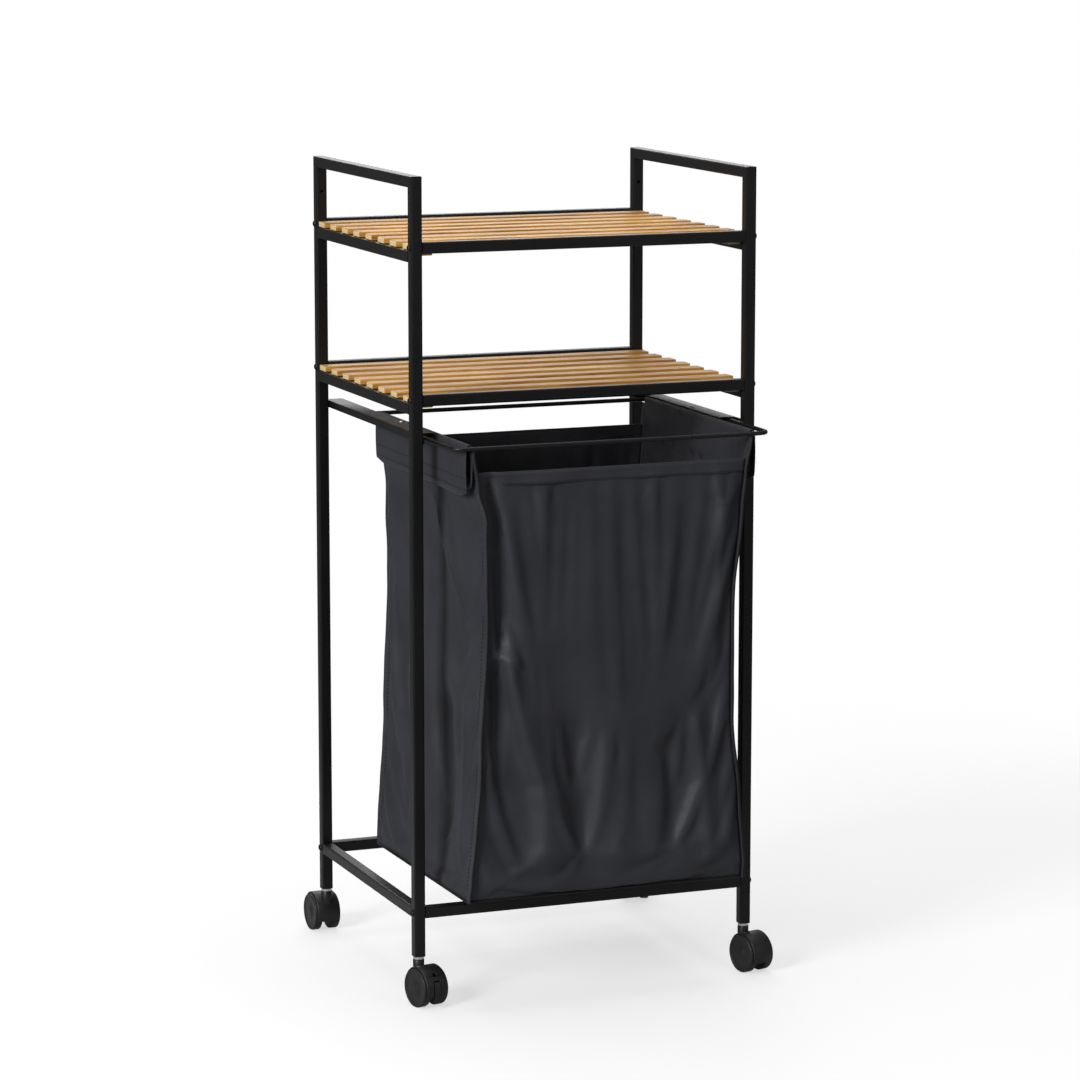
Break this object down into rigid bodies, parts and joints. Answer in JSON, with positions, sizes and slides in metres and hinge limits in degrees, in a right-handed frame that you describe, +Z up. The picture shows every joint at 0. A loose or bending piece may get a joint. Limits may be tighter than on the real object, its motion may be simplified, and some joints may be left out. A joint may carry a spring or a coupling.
{
  "type": "laundry sorter on wheels",
  "caption": "Wheeled laundry stand: square-tube frame, slatted wood shelves, side handles and a pull-out fabric bag on a sliding wire frame, on swivel casters.",
  "frame": {"origin": "centre of the overall bounding box in plan, on the floor plane under the casters", "axes": "+Z up; -Y is the front, where the bag pulls out; +X is to the right seen from the front"},
  "size_m": [0.4516, 0.4636, 0.935],
  "materials": {
    "frame_paint": "fine satin black powder coat",
    "bolt_steel": "black oxide, slightly glossy",
    "zinc": "bright zinc plating",
    "wood": "clear-lacquered honey-coloured softwood with pale end grain",
    "fabric": "anthracite woven polyester with a soft sheen",
    "caster_plastic": "dark grey-black moulded plastic, fine grain"
  },
  "bodies": {
    "stand": {"post_fl": "frame_paint", "post_fr": "frame_paint", "post_rl": "frame_paint", "post_rr": "frame_paint", "top_rail_left": "frame_paint", "top_rail_right": "frame_paint", "rail_front_bottom": "frame_paint", "rail_rear_bottom": "frame_paint", "rail_left_bottom": "frame_paint", "rail_right_bottom": "frame_paint", "rail_front_lower": "frame_paint", "rail_rear_lower": "frame_paint", "rail_left_lower": "frame_paint", "rail_right_lower": "frame_paint", "rail_front_upper": "frame_paint", "rail_rear_upper": "frame_paint", "rail_left_upper": "frame_paint", "rail_right_upper": "frame_paint", "channel_left": "frame_paint", "channel_right": "frame_paint", "deck_lower": "wood", "deck_upper": "wood", "bolt_fl_bottom": "bolt_steel", "bolt_fl_lower": "bolt_steel", "bolt_fl_upper": "bolt_steel", "bolt_fr_bottom": "bolt_steel", "bolt_fr_lower": "bolt_steel", "bolt_fr_upper": "bolt_steel", "bolt_rl_bottom": "bolt_steel", "bolt_rl_lower": "bolt_steel", "bolt_rl_upper": "bolt_steel", "bolt_rr_bottom": "bolt_steel", "bolt_rr_lower": "bolt_steel", "bolt_rr_upper": "bolt_steel", "stop_pin_left": "zinc", "stop_pin_right": "zinc", "stem_fl": "zinc", "stem_fr": "zinc", "stem_rl": "zinc", "stem_rr": "zinc"},
    "bag_drawer": {"bag_frame": "frame_paint", "bag": "fabric"},
    "swivel_front_left": {"hood_fl": "caster_plastic", "axle_fl": "zinc"},
    "wheel_front_left_left": {"wheel_fl_left": "caster_plastic"},
    "wheel_front_left_right": {"wheel_fl_right": "caster_plastic"},
    "brake_front_left": {"brake_lever_fl": "caster_plastic"},
    "swivel_front_right": {"hood_fr": "caster_plastic", "axle_fr": "zinc"},
    "wheel_front_right_left": {"wheel_fr_left": "caster_plastic"},
    "wheel_front_right_right": {"wheel_fr_right": "caster_plastic"},
    "brake_rear_right": {"brake_lever_rr": "caster_plastic"},
    "swivel_rear_left": {"hood_rl": "caster_plastic", "axle_rl": "zinc"},
    "wheel_rear_left_left": {"wheel_rl_left": "caster_plastic"},
    "wheel_rear_left_right": {"wheel_rl_right": "caster_plastic"},
    "swivel_rear_right": {"hood_rr": "caster_plastic", "axle_rr": "zinc"},
    "wheel_rear_right_left": {"wheel_rr_left": "caster_plastic"},
    "wheel_rear_right_right": {"wheel_rr_right": "caster_plastic"}
  },
  "joints": [
    {"name": "drawer_slide", "type": "slide", "parent": "stand", "child": "bag_drawer", "axis": [0, -1, 0], "range_m": [-0.088, 0.105]},
    {"name": "swivel_fl", "type": "hinge", "parent": "stand", "child": "swivel_front_left", "pos_m": [-0.20849, -0.1398, 0.05], "axis": [0, 0, 1], "continuous": true},
    {"name": "spin_fl_left", "type": "hinge", "parent": "swivel_front_left", "child": "wheel_front_left_left", "pos_m": [-0.20489, -0.15539, 0.022], "axis": [0.9744, 0.225, 0], "continuous": true},
    {"name": "spin_fl_right", "type": "hinge", "parent": "swivel_front_left", "child": "wheel_front_left_right", "pos_m": [-0.20489, -0.15539, 0.022], "axis": [0.9744, 0.225, 0], "continuous": true},
    {"name": "brake_fl", "type": "hinge", "parent": "swivel_front_left", "child": "brake_front_left", "pos_m": [-0.20017, -0.17586, 0.03136], "axis": [0.9744, 0.225, 0], "range_deg": [0, 9]},
    {"name": "swivel_fr", "type": "hinge", "parent": "stand", "child": "swivel_front_right", "pos_m": [0.19351, -0.1398, 0.05], "axis": [0, 0, 1], "continuous": true},
    {"name": "spin_fr_left", "type": "hinge", "parent": "swivel_front_right", "child": "wheel_front_right_left", "pos_m": [0.19711, -0.15539, 0.022], "axis": [0.9744, 0.225, 0], "continuous": true},
    {"name": "spin_fr_right", "type": "hinge", "parent": "swivel_front_right", "child": "wheel_front_right_right", "pos_m": [0.19711, -0.15539, 0.022], "axis": [0.9744, 0.225, 0], "continuous": true},
    {"name": "brake_rr", "type": "hinge", "parent": "swivel_rear_right", "child": "brake_rear_right", "pos_m": [0.21202, 0.22225, 0.03136], "axis": [-0.866, 0.5, 0], "range_deg": [0, 9]},
    {"name": "swivel_rl", "type": "hinge", "parent": "stand", "child": "swivel_rear_left", "pos_m": [-0.20849, 0.1902, 0.05], "axis": [0, 0, 1], "continuous": true},
    {"name": "spin_rl_left", "type": "hinge", "parent": "swivel_rear_left", "child": "wheel_rear_left_left", "pos_m": [-0.20905, 0.20619, 0.022], "axis": [-0.9994, -0.0349, 0], "continuous": true},
    {"name": "spin_rl_right", "type": "hinge", "parent": "swivel_rear_left", "child": "wheel_rear_left_right", "pos_m": [-0.20905, 0.20619, 0.022], "axis": [-0.9994, -0.0349, 0], "continuous": true},
    {"name": "swivel_rr", "type": "hinge", "parent": "stand", "child": "swivel_rear_right", "pos_m": [0.19351, 0.1902, 0.05], "axis": [0, 0, 1], "continuous": true},
    {"name": "spin_rr_left", "type": "hinge", "parent": "swivel_rear_right", "child": "wheel_rear_right_left", "pos_m": [0.20151, 0.20406, 0.022], "axis": [-0.866, 0.5, 0], "continuous": true},
    {"name": "spin_rr_right", "type": "hinge", "parent": "swivel_rear_right", "child": "wheel_rear_right_right", "pos_m": [0.20151, 0.20406, 0.022], "axis": [-0.866, 0.5, 0], "continuous": true}
  ]
}
